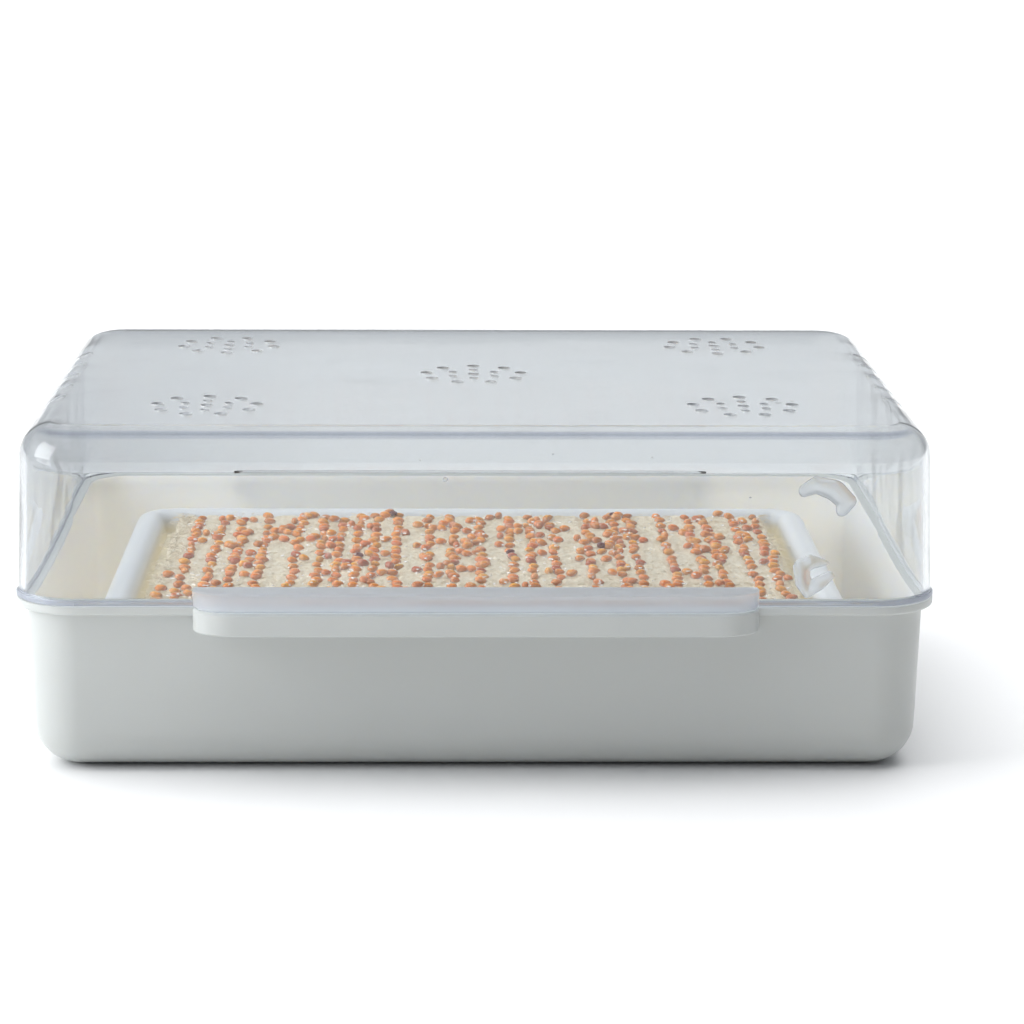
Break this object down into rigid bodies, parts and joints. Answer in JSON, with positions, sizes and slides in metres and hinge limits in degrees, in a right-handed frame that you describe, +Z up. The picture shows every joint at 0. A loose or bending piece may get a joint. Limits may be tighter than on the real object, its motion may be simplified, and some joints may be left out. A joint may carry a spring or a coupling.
{
  "type": "microgreens tray",
  "caption": "Rectangular sprouting tray with a clear vented lid; a raised inner tray holds a furrowed mat sown with rows of swollen cress seeds.",
  "frame": {"origin": "middle of the tray's flat underside", "axes": "+X along the long side, +Y from the front grip tab to the back one, +Z up through the lid"},
  "size_m": [0.215, 0.174, 0.0815],
  "materials": {
    "white_plastic": "smooth moulded, satin",
    "insert_plastic": "smooth moulded, wet",
    "clear_plastic": "clear, polished",
    "wet_fibre": "pressed fibre, soaked",
    "wet_seed": "seed coat under clear jelly, wet"
  },
  "bodies": {
    "root": {"tray": "white_plastic", "lid": "clear_plastic", "insert": "insert_plastic", "mat": "wet_fibre", "seed_row_01": "wet_seed", "seed_row_02": "wet_seed", "seed_row_03": "wet_seed", "seed_row_04": "wet_seed", "seed_row_05": "wet_seed", "seed_row_06": "wet_seed", "seed_row_07": "wet_seed", "seed_row_08": "wet_seed", "seed_row_09": "wet_seed", "seed_row_10": "wet_seed", "seed_row_11": "wet_seed", "seed_row_12": "wet_seed", "seed_row_13": "wet_seed", "seed_row_14": "wet_seed", "seed_row_15": "wet_seed", "seed_row_16": "wet_seed", "seed_row_17": "wet_seed", "seed_row_18": "wet_seed", "seed_row_19": "wet_seed", "seed_row_20": "wet_seed", "seed_row_21": "wet_seed", "seed_row_22": "wet_seed", "seed_row_23": "wet_seed", "seed_row_24": "wet_seed"}
  },
  "joints": []
}
